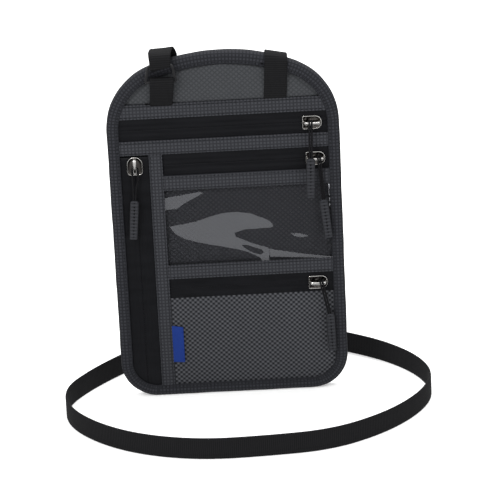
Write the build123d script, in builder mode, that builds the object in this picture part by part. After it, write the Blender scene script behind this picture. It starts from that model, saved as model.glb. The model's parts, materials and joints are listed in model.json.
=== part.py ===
"""Neck pouch wallet: a flat zipped travel pouch with a webbing neck strap.

Millimetres, +Z up. The front faces -Y and +X is to the right of someone facing it.
The origin is in the middle of the bottom edge, which the pouch stands on.
"Depth" below is measured forward, towards -Y, from the plane y = 0.
"""

import os
from math import atan2, cos, degrees, pi, radians, sin, sqrt, tan

from build123d import *

os.makedirs("parts", exist_ok=True)

# Outline of the pouch
POUCH_WIDTH = 131.0
POUCH_HEIGHT = 208.0
SHOULDER_HEIGHT = 163.2
SHOULDER_RADIUS = 40.0
BOTTOM_RADIUS = 21.0
BINDING_WIDTH = 6.8
BINDING_WALL = 1.2
BINDING_ROUND = 2.0

# Depths of the layers, from the back to the front
BACK_FACE = -3.8
BACK_PANEL_BACK = -3.2
REAR_LINING_BACK = -2.0
DIVIDER_BACK = -1.2
FRONT_LINING_BACK = -0.5
FRONT_LINING_FRONT = 0.3
WINDOW_BACKING_FRONT = 1.1
YOKE_FRONT = 2.2
MESH_BACK = 2.3
COIL_BACK = 1.3
TAPE_BACK = 2.6
FILM_BACK = 2.7
TAPE_FRONT = 3.1
LABEL_FRONT = 3.7
STRIP_FRONT = 3.9
FRONT_FACE = 4.5

# Heights of the seams on the front
YOKE_SEAM = 179.2
TOP_ZIP = (157.5, 170.5)
CROSS_ZIP = (136.0, 149.0)
WINDOW = (81.0, 127.0)
LOWER_ZIP = (60.8, 72.6)
SIDE_ZIP_RIGHT = -42.7
UPRIGHT_RIGHT = -35.0
TUCK = 1.3

# Zippers
COIL_WIDTH = 1.5
TAPE_GAP = 0.7
SLIDER_LENGTH = 11.0
SLIDER_WIDTH = 7.6
PLATE_BACK = 3.4
PLATE_FRONT = 4.6
PLATE_CORNER = 2.4
PLATE_CHAMFER = 0.3
WING_BACK = 0.4
WING_FRONT = 1.0
WING_LENGTH = 9.0
WING_WIDTH = 5.6
WING_CORNER = 1.0
RAIL_FRONT = 2.5
RAIL_LENGTH = 7.0
RAIL_WIDTH = 0.8
NECK_LENGTH = 4.0
NECK_WIDTH = 0.5
BAIL_DEPTH = 6.6
BAIL_SPAN = 6.8
BAIL_RADIUS = 0.55
BAIL_CORNER = 1.3
BAIL_SINK = 0.3
SIDE_SLIDER_Z = 143.0

# Zipper pulls
CORD_DIAMETER = 1.1
LOOP_RADIUS = 1.3
SIDE_LOOP_RADIUS = 1.5
STRAND_GAP = 0.1
LOOP_SHOULDER = 3.0
GRIP_WIDTH = 4.9
GRIP_THICKNESS = 2.2
GRIP_LENGTH = 23.4
GRIP_GAP = 0.15

# Neck strap
WEBBING_WIDTH = 12.7
WEBBING_THICKNESS = 1.3
RIGHT_STRAP_X = 31.0
LEFT_STRAP_X = -33.2
STRAP_SIT = 0.7
FRONT_CLEARANCE = 0.8
HELD_END = (6.8, 185.0)
RIGHT_LANDING_Z = 194.5
RIGHT_TOP_Z = 206.1
LEFT_TOP_Z = 211.0
RING_BAR_RADIUS = 1.0
RING_INNER_WIDTH = 13.2
RING_CORNER = 1.2
RING_LOWER_BAR = (-6.95, 193.2)
RING_UPPER_BAR = (-7.9, 202.6)
ON_EDGE = WEBBING_WIDTH / 2

# The free strap's route: down the back on the right, round the floor on edge, and up the back on the left
STRAP_ROUTE = [
    (31.0, 6.8, 185.0),
    (31.0, 9.6, 156.0),
    (27.0, 12.0, 125.0),
    (18.5, 14.5, 93.0),
    (10.5, 17.5, 60.0),
    (8.5, 26.5, 33.0),
    (13.5, 41.0, 15.0),
    (30.0, 52.5, ON_EDGE),
    (51.0, 54.0, ON_EDGE),
    (70.0, 43.5, ON_EDGE),
    (91.0, 27.0, ON_EDGE),
    (107.5, 5.0, ON_EDGE),
    (113.5, -20.0, ON_EDGE),
    (103.5, -45.0, ON_EDGE),
    (82.0, -68.5, ON_EDGE),
    (52.0, -86.0, ON_EDGE),
    (16.0, -90.0, ON_EDGE),
    (-21.0, -91.0, ON_EDGE),
    (-55.0, -80.5, ON_EDGE),
    (-80.0, -62.0, ON_EDGE),
    (-96.5, -38.0, ON_EDGE),
    (-98.0, -13.0, ON_EDGE),
    (-84.5, 9.0, ON_EDGE),
    (-67.5, 28.5, ON_EDGE),
    (-50.0, 45.5, ON_EDGE),
    (-29.0, 49.0, ON_EDGE),
    (-11.5, 38.5, 15.0),
    (-6.5, 25.0, 33.0),
    (-9.0, 16.5, 60.0),
    (-18.5, 13.5, 93.0),
    (-28.5, 11.5, 125.0),
    (-33.2, 9.6, 156.0),
    (-33.2, 6.8, 185.0),
]
RIGHT_RISER_POINTS = 8
LEFT_RISER_POINTS = 8


def finish(piece, label):
    """Label a piece and write it to its own file."""
    piece.part.label = label
    export_step(piece.part, f"parts/{label}.step")


def outline_face(inset):
    """The pouch's outline, moved in from its edge, as a flat face drawn in X and Y."""
    shoulder_x = POUCH_WIDTH / 2 - SHOULDER_RADIUS
    rise = POUCH_HEIGHT - SHOULDER_HEIGHT
    crown_radius = (shoulder_x**2 + rise**2 - SHOULDER_RADIUS**2) / (2 * (rise - SHOULDER_RADIUS))
    crown_y = POUCH_HEIGHT - crown_radius
    join = degrees(atan2(SHOULDER_HEIGHT - crown_y, shoulder_x))
    corner_x = POUCH_WIDTH / 2 - BOTTOM_RADIUS
    half = POUCH_WIDTH / 2 - inset
    with BuildSketch() as outline:
        with BuildLine():
            CenterArc((shoulder_x, SHOULDER_HEIGHT), SHOULDER_RADIUS - inset, 0, join)
            CenterArc((0, crown_y), crown_radius - inset, join, 180 - 2 * join)
            CenterArc((-shoulder_x, SHOULDER_HEIGHT), SHOULDER_RADIUS - inset, 180 - join, join)
            Line((-half, SHOULDER_HEIGHT), (-half, BOTTOM_RADIUS))
            CenterArc((-corner_x, BOTTOM_RADIUS), BOTTOM_RADIUS - inset, 180, 90)
            Line((-corner_x, inset), (corner_x, inset))
            CenterArc((corner_x, BOTTOM_RADIUS), BOTTOM_RADIUS - inset, 270, 90)
            Line((half, BOTTOM_RADIUS), (half, SHOULDER_HEIGHT))
        make_face()
    return outline.sketch


EDGE_OUTLINE = outline_face(0)
LAYER_OUTLINE = outline_face(BINDING_WALL)
FRONT_OUTLINE = outline_face(BINDING_WIDTH)


def full_layer(label, back, front):
    """Make a layer that fills the pouch inside its binding."""
    with BuildPart() as layer:
        with BuildSketch(Plane.XZ.offset(back)):
            add(LAYER_OUTLINE)
        extrude(amount=front - back)
    finish(layer, label)


def panel(label, rectangles, back, front):
    """Make a piece of the front from (x_min, x_max, z_min, z_max) rectangles, cut to the pouch's shape."""
    with BuildPart() as piece:
        with BuildSketch(Plane.XZ.offset(back)):
            for x_min, x_max, z_min, z_max in rectangles:
                with Locations(((x_min + x_max) / 2, (z_min + z_max) / 2)):
                    Rectangle(x_max - x_min, z_max - z_min)
            add(LAYER_OUTLINE, mode=Mode.INTERSECT)
        extrude(amount=front - back)
    finish(piece, label)


# Full layers, and the binding that holds their edges
full_layer("back_panel", BACK_PANEL_BACK, REAR_LINING_BACK)
full_layer("rear_lining", REAR_LINING_BACK, DIVIDER_BACK)
full_layer("pocket_divider", DIVIDER_BACK, FRONT_LINING_BACK)
full_layer("front_lining", FRONT_LINING_BACK, FRONT_LINING_FRONT)

with BuildPart() as edge_binding:
    with BuildSketch(Plane.XZ.offset(BACK_FACE)):
        add(EDGE_OUTLINE)
    extrude(amount=FRONT_FACE - BACK_FACE)
    flat_sides = edge_binding.faces().filter_by(Axis.Y).sort_by(Axis.Y)
    fillet(flat_sides[0].edges() + flat_sides[-1].edges(), BINDING_ROUND)
    with BuildSketch(Plane.XZ.offset(BACK_PANEL_BACK)):
        add(LAYER_OUTLINE)
    extrude(amount=STRIP_FRONT - BACK_PANEL_BACK, mode=Mode.SUBTRACT)
    with BuildSketch(Plane.XZ.offset(BACK_FACE)):
        add(FRONT_OUTLINE)
    extrude(amount=FRONT_FACE - BACK_FACE, mode=Mode.SUBTRACT)
finish(edge_binding, "edge_binding")

# Panels and strips of the front
INNER = POUCH_WIDTH / 2 - BINDING_WIDTH
LEFT = -INNER - TUCK
RIGHT = INNER + TUCK
BOTTOM = BINDING_WIDTH - TUCK
TOP = POUCH_HEIGHT

panel("yoke_panel", [(LEFT, RIGHT, YOKE_SEAM, TOP)], FRONT_LINING_FRONT, YOKE_FRONT)
panel("top_strip", [(LEFT, RIGHT, TOP_ZIP[1], YOKE_SEAM)], FRONT_LINING_FRONT, STRIP_FRONT)
panel("cross_strip", [(LEFT, RIGHT, CROSS_ZIP[1], TOP_ZIP[0])], FRONT_LINING_FRONT, STRIP_FRONT)
panel("upright_strip", [(SIDE_ZIP_RIGHT, UPRIGHT_RIGHT, BOTTOM, CROSS_ZIP[1])], FRONT_LINING_FRONT, STRIP_FRONT)
panel("window_strip", [(UPRIGHT_RIGHT, RIGHT, WINDOW[1], CROSS_ZIP[0])], FRONT_LINING_FRONT, STRIP_FRONT)
panel("sill_strip", [(UPRIGHT_RIGHT, RIGHT, LOWER_ZIP[1], WINDOW[0])], FRONT_LINING_FRONT, STRIP_FRONT)
panel("window_backing", [(UPRIGHT_RIGHT, RIGHT, *WINDOW)], FRONT_LINING_FRONT, WINDOW_BACKING_FRONT)
panel("clear_window", [(UPRIGHT_RIGHT, RIGHT, *WINDOW)], FILM_BACK, TAPE_FRONT)
panel("mesh_pocket_panel", [(UPRIGHT_RIGHT, RIGHT, BOTTOM, LOWER_ZIP[0])], MESH_BACK, TAPE_FRONT)
panel("label_tab", [(UPRIGHT_RIGHT, UPRIGHT_RIGHT + 6.4, 20.8, 43.6)], TAPE_FRONT, LABEL_FRONT)


def across(low, high, start, end):
    """The two halves of a band that runs along X, with the tape gap between them."""
    middle = (low + high) / 2
    return [(start, end, low, middle - TAPE_GAP / 2), (start, end, middle + TAPE_GAP / 2, high)]


def upright(low, high, start, end):
    """The two halves of a band that runs along Z, with the tape gap between them."""
    middle = (low + high) / 2
    return [(low, middle - TAPE_GAP / 2, start, end), (middle + TAPE_GAP / 2, high, start, end)]


def zipper(name, halves, low, high, start, end):
    """Make a zipper's two tapes, and the two rows of its coil behind them."""
    middle = (low + high) / 2
    reach = TAPE_GAP / 2 + COIL_WIDTH
    panel(f"{name}_zip_tape", halves(low, high, start, end), TAPE_BACK, TAPE_FRONT)
    panel(f"{name}_zip_coil", halves(middle - reach, middle + reach, start, end), COIL_BACK, TAPE_BACK)


zipper("top", across, *TOP_ZIP, LEFT, RIGHT)
zipper("cross", across, *CROSS_ZIP, UPRIGHT_RIGHT, RIGHT)
zipper("lower", across, *LOWER_ZIP, UPRIGHT_RIGHT, RIGHT)
zipper("side", upright, -INNER, SIDE_ZIP_RIGHT, BOTTOM, CROSS_ZIP[1])


def slider(name, x, z, along):
    """Make a slider centred on its zipper, with its bail along the way it travels."""
    face = Plane(origin=(x, 0, z), x_dir=along, z_dir=(0, -1, 0))
    side = Plane(origin=(x, 0, z), x_dir=along, z_dir=-face.y_dir)
    half_span = BAIL_SPAN / 2
    foot = PLATE_FRONT - BAIL_SINK
    with BuildPart() as body:
        with BuildSketch(face.offset(PLATE_BACK)):
            RectangleRounded(SLIDER_LENGTH, SLIDER_WIDTH, PLATE_CORNER)
        extrude(amount=PLATE_FRONT - PLATE_BACK)
        chamfer(body.faces().sort_by(Axis.Y)[0].edges(), PLATE_CHAMFER)
        with BuildSketch(face.offset(WING_BACK)):
            RectangleRounded(WING_LENGTH, WING_WIDTH, WING_CORNER)
        extrude(amount=WING_FRONT - WING_BACK)
        with BuildSketch(face.offset(WING_FRONT)):
            with GridLocations(0, WING_WIDTH - RAIL_WIDTH, 1, 2):
                Rectangle(RAIL_LENGTH, RAIL_WIDTH)
        extrude(amount=RAIL_FRONT - WING_FRONT)
        with BuildSketch(face.offset(WING_FRONT)):
            Rectangle(NECK_LENGTH, NECK_WIDTH)
        extrude(amount=PLATE_BACK - WING_FRONT)
        with BuildLine(side) as arch:
            FilletPolyline(
                (-half_span, foot),
                (-half_span, BAIL_DEPTH),
                (half_span, BAIL_DEPTH),
                (half_span, foot),
                radius=BAIL_CORNER,
            )
        with BuildSketch(Plane(origin=arch.line @ 0, z_dir=arch.line % 0)):
            Circle(BAIL_RADIUS)
        sweep(path=arch.line)
    finish(body, f"{name}_zip_slider")


def pull(name, root, tip, grip_lean, loop_axis, loop_radius, loop_top):
    """Make a pull: a cord loop from the bail at root to the grip's pivot at tip, and the fabric grip."""
    hang = Vector(*tip) - Vector(*root)
    up = -hang.normalized()
    flat = (Vector(*loop_axis) - up * up.dot(Vector(*loop_axis))).normalized()
    plane = Plane(origin=root, x_dir=up.cross(flat), z_dir=flat)
    end = hang.length - GRIP_WIDTH / 2 - GRIP_GAP
    pinch = (CORD_DIAMETER + STRAND_GAP) / 2
    reach = 1.6 * loop_radius + 0.6
    crest = 0.97 * loop_radius
    with BuildPart() as cord:
        with BuildLine(plane) as loop:
            FilletPolyline(
                (pinch, -end),
                (loop_radius, -reach),
                (loop_radius, loop_top),
                (-loop_radius, loop_top),
                (-loop_radius, -reach),
                (-pinch, -end),
                radius=[LOOP_SHOULDER, crest, crest, LOOP_SHOULDER],
            )
        with BuildSketch(Plane(origin=loop.line @ 0, z_dir=loop.line % 0)):
            Circle(CORD_DIAMETER / 2)
        sweep(path=loop.line)
    finish(cord, f"{name}_pull_cord")

    grip_angle = radians(grip_lean)
    grip_back = Vector(*tip) + Vector(0, GRIP_THICKNESS / 2, 0)
    grip_plane = Plane(origin=grip_back, x_dir=(cos(grip_angle), 0, sin(grip_angle)), z_dir=(0, -1, 0))
    grip_drop = GRIP_LENGTH - GRIP_WIDTH / 2
    with BuildPart() as grip:
        with BuildSketch(grip_plane):
            Circle(GRIP_WIDTH / 2)
            with Locations((0, -grip_drop / 2)):
                Rectangle(GRIP_WIDTH, grip_drop)
        extrude(amount=GRIP_THICKNESS)
    finish(grip, f"{name}_pull_grip")


ALONG_X = (1, 0, 0)
ALONG_Z = (0, 0, 1)
ACROSS = (0, 1, 0)
TOP_MIDDLE = sum(TOP_ZIP) / 2
CROSS_MIDDLE = sum(CROSS_ZIP) / 2
LOWER_MIDDLE = sum(LOWER_ZIP) / 2
SIDE_MIDDLE = (SIDE_ZIP_RIGHT - INNER) / 2

slider("top", 50.0, TOP_MIDDLE, ALONG_X)
slider("cross", 51.2, CROSS_MIDDLE, ALONG_X)
slider("lower", 50.0, LOWER_MIDDLE, ALONG_X)
slider("side", SIDE_MIDDLE, SIDE_SLIDER_Z, ALONG_Z)

# Each pull hangs from its bail; the top one leans out to clear the slider below it
TOP_ROOT = (49.0, -BAIL_DEPTH, TOP_MIDDLE)
CROSS_ROOT = (53.2, -BAIL_DEPTH, CROSS_MIDDLE)
LOWER_ROOT = (52.0, -BAIL_DEPTH, LOWER_MIDDLE)
SIDE_ROOT = (SIDE_MIDDLE, -PLATE_FRONT - CORD_DIAMETER / 2 - 0.1, SIDE_SLIDER_Z - 1.6)
TOP_TIP = (48.2, -9.9, 142.0)
CROSS_TIP = (54.9, -BAIL_DEPTH, 115.8)
LOWER_TIP = (56.2, -BAIL_DEPTH, 45.4)
SIDE_TIP = (-52.1, -6.4, 120.6)

pull("top", TOP_ROOT, TOP_TIP, -2.0, ALONG_X, LOOP_RADIUS, LOOP_RADIUS)
pull("cross", CROSS_ROOT, CROSS_TIP, 5.6, ALONG_X, LOOP_RADIUS, LOOP_RADIUS)
pull("lower", LOWER_ROOT, LOWER_TIP, 1.5, ALONG_X, LOOP_RADIUS, LOOP_RADIUS)
pull("side", SIDE_ROOT, SIDE_TIP, -4.7, ACROSS, SIDE_LOOP_RADIUS, 0.0)


def ribbon(label, x, points, radii):
    """Make a length of webbing that lies across X, from its centreline in the YZ plane."""
    with BuildPart() as piece:
        with BuildSketch(Plane.YZ.offset(x)):
            with BuildLine():
                FilletPolyline(*points, radius=radii)
            trace(line_width=WEBBING_THICKNESS)
        extrude(amount=WEBBING_WIDTH / 2, both=True)
    finish(piece, label)


# Where the strap is held: sewn under the top strip on the right, looped through the ring on the left
SEAM = (-YOKE_FRONT - STRAP_SIT, YOKE_SEAM + 0.1)
SECOND_SEAM = (SEAM[0] - WEBBING_THICKNESS - 0.1, SEAM[1])
OVER_EDGE = -FRONT_FACE - FRONT_CLEARANCE
BEHIND_EDGE = -BACK_FACE + FRONT_CLEARANCE
LOWER_Y, LOWER_Z = RING_LOWER_BAR
UPPER_Y, UPPER_Z = RING_UPPER_BAR
TAB_WRAP = RING_BAR_RADIUS + 0.05 + WEBBING_THICKNESS / 2
LOOP_WRAP = RING_BAR_RADIUS + 0.7 + WEBBING_THICKNESS / 2
BENDS = 3.0

ribbon(
    "strap_right_end",
    RIGHT_STRAP_X,
    [
        SEAM,
        (OVER_EDGE, RIGHT_LANDING_Z),
        (OVER_EDGE, RIGHT_TOP_Z),
        (BEHIND_EDGE, RIGHT_TOP_Z),
        HELD_END,
    ],
    [2 * BENDS, BENDS, BENDS],
)
ribbon(
    "strap_left_end",
    LEFT_STRAP_X,
    [
        (UPPER_Y + LOOP_WRAP, UPPER_Z + 6.7),
        (UPPER_Y + LOOP_WRAP, UPPER_Z - LOOP_WRAP),
        (UPPER_Y - LOOP_WRAP, UPPER_Z - LOOP_WRAP),
        (UPPER_Y - LOOP_WRAP, UPPER_Z + 4.2),
        (UPPER_Y - 0.6, LEFT_TOP_Z),
        (BEHIND_EDGE - 0.4, LEFT_TOP_Z),
        HELD_END,
    ],
    [LOOP_WRAP * 0.98, LOOP_WRAP * 0.98, BENDS, BENDS, BENDS],
)
ribbon(
    "ring_tab",
    LEFT_STRAP_X,
    [
        SEAM,
        (LOWER_Y + TAB_WRAP, LOWER_Z - 1.4),
        (LOWER_Y + TAB_WRAP, LOWER_Z + TAB_WRAP),
        (LOWER_Y - TAB_WRAP, LOWER_Z + TAB_WRAP),
        (LOWER_Y - TAB_WRAP, LOWER_Z - 2.2),
        SECOND_SEAM,
    ],
    [5.0, TAB_WRAP * 0.99, TAB_WRAP * 0.99, 5.0],
)

# The rectangular ring that joins the left tab to the strap
ring_side = RING_INNER_WIDTH / 2 + RING_BAR_RADIUS
ring_rise = Vector(0, UPPER_Y - LOWER_Y, UPPER_Z - LOWER_Z)
ring_plane = Plane(
    origin=(LEFT_STRAP_X, LOWER_Y, LOWER_Z),
    x_dir=(1, 0, 0),
    z_dir=Vector(1, 0, 0).cross(ring_rise),
)
with BuildPart() as strap_ring:
    with BuildLine(ring_plane) as ring_path:
        FilletPolyline(
            (-ring_side, 0),
            (ring_side, 0),
            (ring_side, ring_rise.length),
            (-ring_side, ring_rise.length),
            radius=RING_CORNER,
            close=True,
        )
    with BuildSketch(Plane(origin=ring_path.line @ 0, z_dir=ring_path.line % 0)):
        Circle(RING_BAR_RADIUS)
    sweep(path=ring_path.line)
finish(strap_ring, "strap_ring")


def corner_radii(points):
    """The largest round corners that each pair of runs leaves room for."""
    radii = []
    for before, corner, after in zip(points, points[1:], points[2:]):
        run_in = Vector(*corner) - Vector(*before)
        run_out = Vector(*after) - Vector(*corner)
        half_turn = radians(run_in.get_angle(run_out)) / 2
        radii.append(0.45 * min(run_in.length, run_out.length) / tan(half_turn))
    return radii


def halfway(start, end):
    """The middle of a run of the strap."""
    return tuple((a + b) / 2 for a, b in zip(start, end))


STRAP_RADII = corner_radii(STRAP_ROUTE)
LAST = len(STRAP_ROUTE) - LEFT_RISER_POINTS
RIGHT_TURN = halfway(STRAP_ROUTE[RIGHT_RISER_POINTS - 1], STRAP_ROUTE[RIGHT_RISER_POINTS])
LEFT_TURN = halfway(STRAP_ROUTE[LAST - 1], STRAP_ROUTE[LAST])
RISER_RADIUS = sqrt(WEBBING_WIDTH * WEBBING_THICKNESS / pi)
print("strap radii", [round(radius, 1) for radius in STRAP_RADII])


def report_strap(label, piece, path):
    """Print how a strap piece's volume compares with its section times its length."""
    section = WEBBING_WIDTH * WEBBING_THICKNESS
    length = sum(edge.length for edge in path.edges())
    print(label, "length", round(length, 1), "volume ratio", round(piece.part.volume / section / length, 4))


def riser(label, points, radii):
    """Make a stretch of the free strap that climbs the back, as a round tube of the webbing's section."""
    with BuildPart() as piece:
        with BuildLine() as path:
            FilletPolyline(*points, radius=radii)
        with BuildSketch(Plane(origin=path.line @ 0, z_dir=path.line % 0)):
            Circle(RISER_RADIUS)
        sweep(path=path.line)
    report_strap(label, piece, path)
    finish(piece, label)


riser(
    "strap_right_riser",
    STRAP_ROUTE[:RIGHT_RISER_POINTS] + [RIGHT_TURN],
    STRAP_RADII[: RIGHT_RISER_POINTS - 1],
)
riser("strap_left_riser", [LEFT_TURN] + STRAP_ROUTE[LAST:], STRAP_RADII[LAST - 1 :])

floor_points = [RIGHT_TURN] + STRAP_ROUTE[RIGHT_RISER_POINTS:LAST] + [LEFT_TURN]
with BuildPart() as strap_floor_loop:
    with BuildSketch(Plane.XY):
        with BuildLine() as loop_line:
            FilletPolyline(
                *[(x, y) for x, y, z in floor_points],
                radius=STRAP_RADII[RIGHT_RISER_POINTS - 1 : LAST - 1],
            )
        trace(line_width=WEBBING_THICKNESS)
    extrude(amount=WEBBING_WIDTH)
report_strap("strap_floor_loop", strap_floor_loop, loop_line)
finish(strap_floor_loop, "strap_floor_loop")
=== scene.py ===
import json
import math

import bmesh
import bpy
import numpy as np
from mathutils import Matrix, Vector


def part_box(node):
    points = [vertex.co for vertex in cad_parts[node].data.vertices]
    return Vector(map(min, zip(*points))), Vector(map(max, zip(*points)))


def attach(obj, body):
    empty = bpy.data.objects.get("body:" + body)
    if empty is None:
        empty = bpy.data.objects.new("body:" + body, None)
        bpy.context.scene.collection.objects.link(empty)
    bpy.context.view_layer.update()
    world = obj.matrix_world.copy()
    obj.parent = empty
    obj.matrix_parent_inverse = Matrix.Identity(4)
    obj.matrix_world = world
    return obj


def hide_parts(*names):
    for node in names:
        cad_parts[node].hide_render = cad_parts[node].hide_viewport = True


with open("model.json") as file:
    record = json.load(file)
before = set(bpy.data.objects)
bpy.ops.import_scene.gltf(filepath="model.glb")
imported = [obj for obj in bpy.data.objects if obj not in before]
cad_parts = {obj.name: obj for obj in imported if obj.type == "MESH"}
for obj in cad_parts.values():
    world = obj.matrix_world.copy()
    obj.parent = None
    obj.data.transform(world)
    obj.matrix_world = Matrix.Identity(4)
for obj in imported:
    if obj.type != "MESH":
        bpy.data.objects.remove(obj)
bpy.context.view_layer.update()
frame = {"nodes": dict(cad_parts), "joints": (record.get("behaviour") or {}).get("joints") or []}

# The pieces are worked out in millimetres and made in metres. The strap's route, the stage and the lights are in
# metres throughout.
# "Depth" is measured forward, towards -Y, and the front of the pouch faces -Y.
MM = 0.001
FRONT = np.array([0.0, -1.0, 0.0])


def box_mm(node):
    """(x_min, x_max, z_min, z_max) and (back depth, front depth) of a CAD node."""
    low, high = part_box(node)
    return [v / MM for v in (low.x, high.x, low.z, high.z)], (-high.y / MM, -low.y / MM)


# ---------------------------------------------------------------- camera, floor and lights

scene = bpy.context.scene
scene.view_settings.view_transform = "Standard"

ELEVATION = math.radians(22.0)
ROLL = math.radians(2.91)
DISTANCE = 1.8
LENS = 227.7
SENSOR_WIDTH = 36.0
SHIFT = (0.0438, -0.0406)
FAR_CLIP = 50.0
TARGET = Vector((0.0, 0.0, 0.1))


def aim_camera():
    """Put the camera at its angle, with a long lens, far off and slightly rolled."""
    camera = bpy.data.objects.new("camera", bpy.data.cameras.new("camera"))
    scene.collection.objects.link(camera)
    back = Vector((0, -math.cos(ELEVATION), math.sin(ELEVATION)))
    level = Vector((1, 0, 0))
    upright = back.cross(level)
    right = math.cos(ROLL) * level - math.sin(ROLL) * upright
    up = math.sin(ROLL) * level + math.cos(ROLL) * upright
    matrix = camera.matrix_world.to_3x3()
    for row in range(3):
        matrix[row] = (right[row], up[row], back[row])
    camera.matrix_world = matrix.to_4x4()
    camera.location = TARGET + back * DISTANCE
    camera.data.lens = LENS
    camera.data.sensor_width = SENSOR_WIDTH
    camera.data.shift_x, camera.data.shift_y = SHIFT
    camera.data.clip_end = FAR_CLIP
    scene.camera = camera


aim_camera()


# ---------------------------------------------------------------- materials

# The size in millimetres of the patterns' repeats, across and up
SQUARE_GRID = (2.0, 2.0)
DIAMOND_GRID = (3.0, 2.8)
LINING_GRID = (4.0, 4.0)
MESH_PITCH = (2.96, 2.8)
# A pull's grip: its width, length and thickness, its stitches' pitch, and half the width of the line they make
GRIP_WIDTH, GRIP_LENGTH, GRIP_THICKNESS = 4.9, 23.4, 2.2
GRIP_PITCH = 2.05
GRIP_LINE = 0.62
# The share of light that the film mirrors: face on, at its folded edge, and at a grazing angle
FILM_MIRROR = 0.158
FOLD_MIRROR = 0.95
GRAZING_MIRROR = 0.9


class Shader:
    """A node material on one Principled BSDF, with short names for the nodes used most."""

    def __init__(self, name, roughness=0.8, specular=0.3, **sockets):
        self.material = bpy.data.materials.new(name)
        self.material.use_nodes = True
        self.tree = self.material.node_tree
        self.bsdf = self.tree.nodes["Principled BSDF"]
        self.bsdf.inputs["Roughness"].default_value = roughness
        self.bsdf.inputs["Specular IOR Level"].default_value = specular
        for socket, value in sockets.items():
            self.bsdf.inputs[socket.replace("_", " ")].default_value = value
        uv = self.tree.nodes.new("ShaderNodeUVMap")
        split = self.tree.nodes.new("ShaderNodeSeparateXYZ")
        self.tree.links.new(uv.outputs["UV"], split.inputs[0])
        self.uv, self.u, self.v = uv.outputs["UV"], split.outputs["X"], split.outputs["Y"]

    def put(self, value, socket):
        if isinstance(value, bpy.types.NodeSocket):
            self.tree.links.new(value, socket)
        else:
            socket.default_value = value

    def math(self, operation, a, b=None, c=None):
        node = self.tree.nodes.new("ShaderNodeMath")
        node.operation = operation
        for value, socket in zip((a, b, c), node.inputs):
            if value is not None:
                self.put(value, socket)
        return node.outputs[0]

    def wave(self, along, period, sharp=1.0):
        """From 0 to 1 and back once each period, 1 at the period's ends; sharp above 1 narrows the peaks."""
        cosine = self.math("COSINE", self.math("MULTIPLY", along, 2 * math.pi / period))
        half = self.math("MULTIPLY_ADD", cosine, 0.5, 0.5)
        return half if sharp == 1.0 else self.math("POWER", half, sharp)

    def weave(self, period):
        """The crossings of a plain weave, from 0 to 1."""
        return self.math("MULTIPLY", self.wave(self.u, period), self.wave(self.v, period))

    def total(self, *parts):
        """The sum of (socket, weight) parts."""
        weighted = [self.math("MULTIPLY", socket, weight) for socket, weight in parts]
        whole = weighted[0]
        for part in weighted[1:]:
            whole = self.math("ADD", whole, part)
        return whole

    def noise(self, scale, detail=2.0, stretch=None):
        """Noise over the surface, from 0 to 1, its scale in cells per millimetre."""
        node = self.tree.nodes.new("ShaderNodeTexNoise")
        node.inputs["Scale"].default_value = scale
        node.inputs["Detail"].default_value = detail
        if stretch is None:
            self.tree.links.new(self.uv, node.inputs["Vector"])
        else:
            scaled = self.tree.nodes.new("ShaderNodeVectorMath")
            scaled.operation = "MULTIPLY"
            scaled.inputs[1].default_value = stretch
            self.tree.links.new(self.uv, scaled.inputs[0])
            self.tree.links.new(scaled.outputs[0], node.inputs["Vector"])
        return node.outputs[0]

    def mix(self, share, a, b, most=1.0):
        """Blend colour a towards b, each (r, g, b) or a socket, by a share from 0 to 1 times most."""
        node = self.tree.nodes.new("ShaderNodeMix")
        node.data_type = "RGBA"
        self.put(share if most == 1.0 else self.math("MULTIPLY", share, most), node.inputs[0])
        for value, socket in ((a, node.inputs[6]), (b, node.inputs[7])):
            self.put((*value, 1.0) if isinstance(value, tuple) else value, socket)
        return node.outputs[2]

    def colour(self, value):
        self.put(value, self.bsdf.inputs["Base Color"])

    def rough(self, share, low, high):
        self.put(self.math("MULTIPLY_ADD", share, high - low, low), self.bsdf.inputs["Roughness"])

    def bump(self, height, distance):
        """Raise the surface by up to distance millimetres."""
        node = self.tree.nodes.new("ShaderNodeBump")
        node.inputs["Distance"].default_value = distance * MM
        self.tree.links.new(height, node.inputs["Height"])
        self.tree.links.new(node.outputs[0], self.bsdf.inputs["Normal"])


def ripstop(name, base, line, grid=SQUARE_GRID, depth=0.16, diagonal=False):
    """Fine woven nylon with a grid of thicker threads, square or diamond, in tones from base to line."""
    s = Shader(name, 0.72, 0.12, Sheen_Weight=0.01, Sheen_Roughness=0.5)
    if diagonal:
        a = s.math("MULTIPLY", s.u, 1 / grid[0])
        b = s.math("MULTIPLY", s.v, 1 / grid[1])
        one, two = s.wave(s.math("ADD", a, b), 1.0, 2.0), s.wave(s.math("SUBTRACT", a, b), 1.0, 2.0)
    else:
        one, two = s.wave(s.u, grid[0], 2.0), s.wave(s.v, grid[1], 2.0)
    threads = s.math("MAXIMUM", one, two)
    fluff = s.noise(1.3)
    worn = s.mix(fluff, s.mix(threads, base, line), tuple(c * 1.5 for c in base), 0.35)
    s.colour(s.mix(s.noise(0.09, 3.0), worn, tuple(c * 0.55 for c in base), 0.3))
    s.bump(s.total((threads, -0.75), (s.weave(0.5), 0.25), (fluff, 0.35)), depth)
    s.rough(fluff, 0.62, 0.85)
    return s.material


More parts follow.
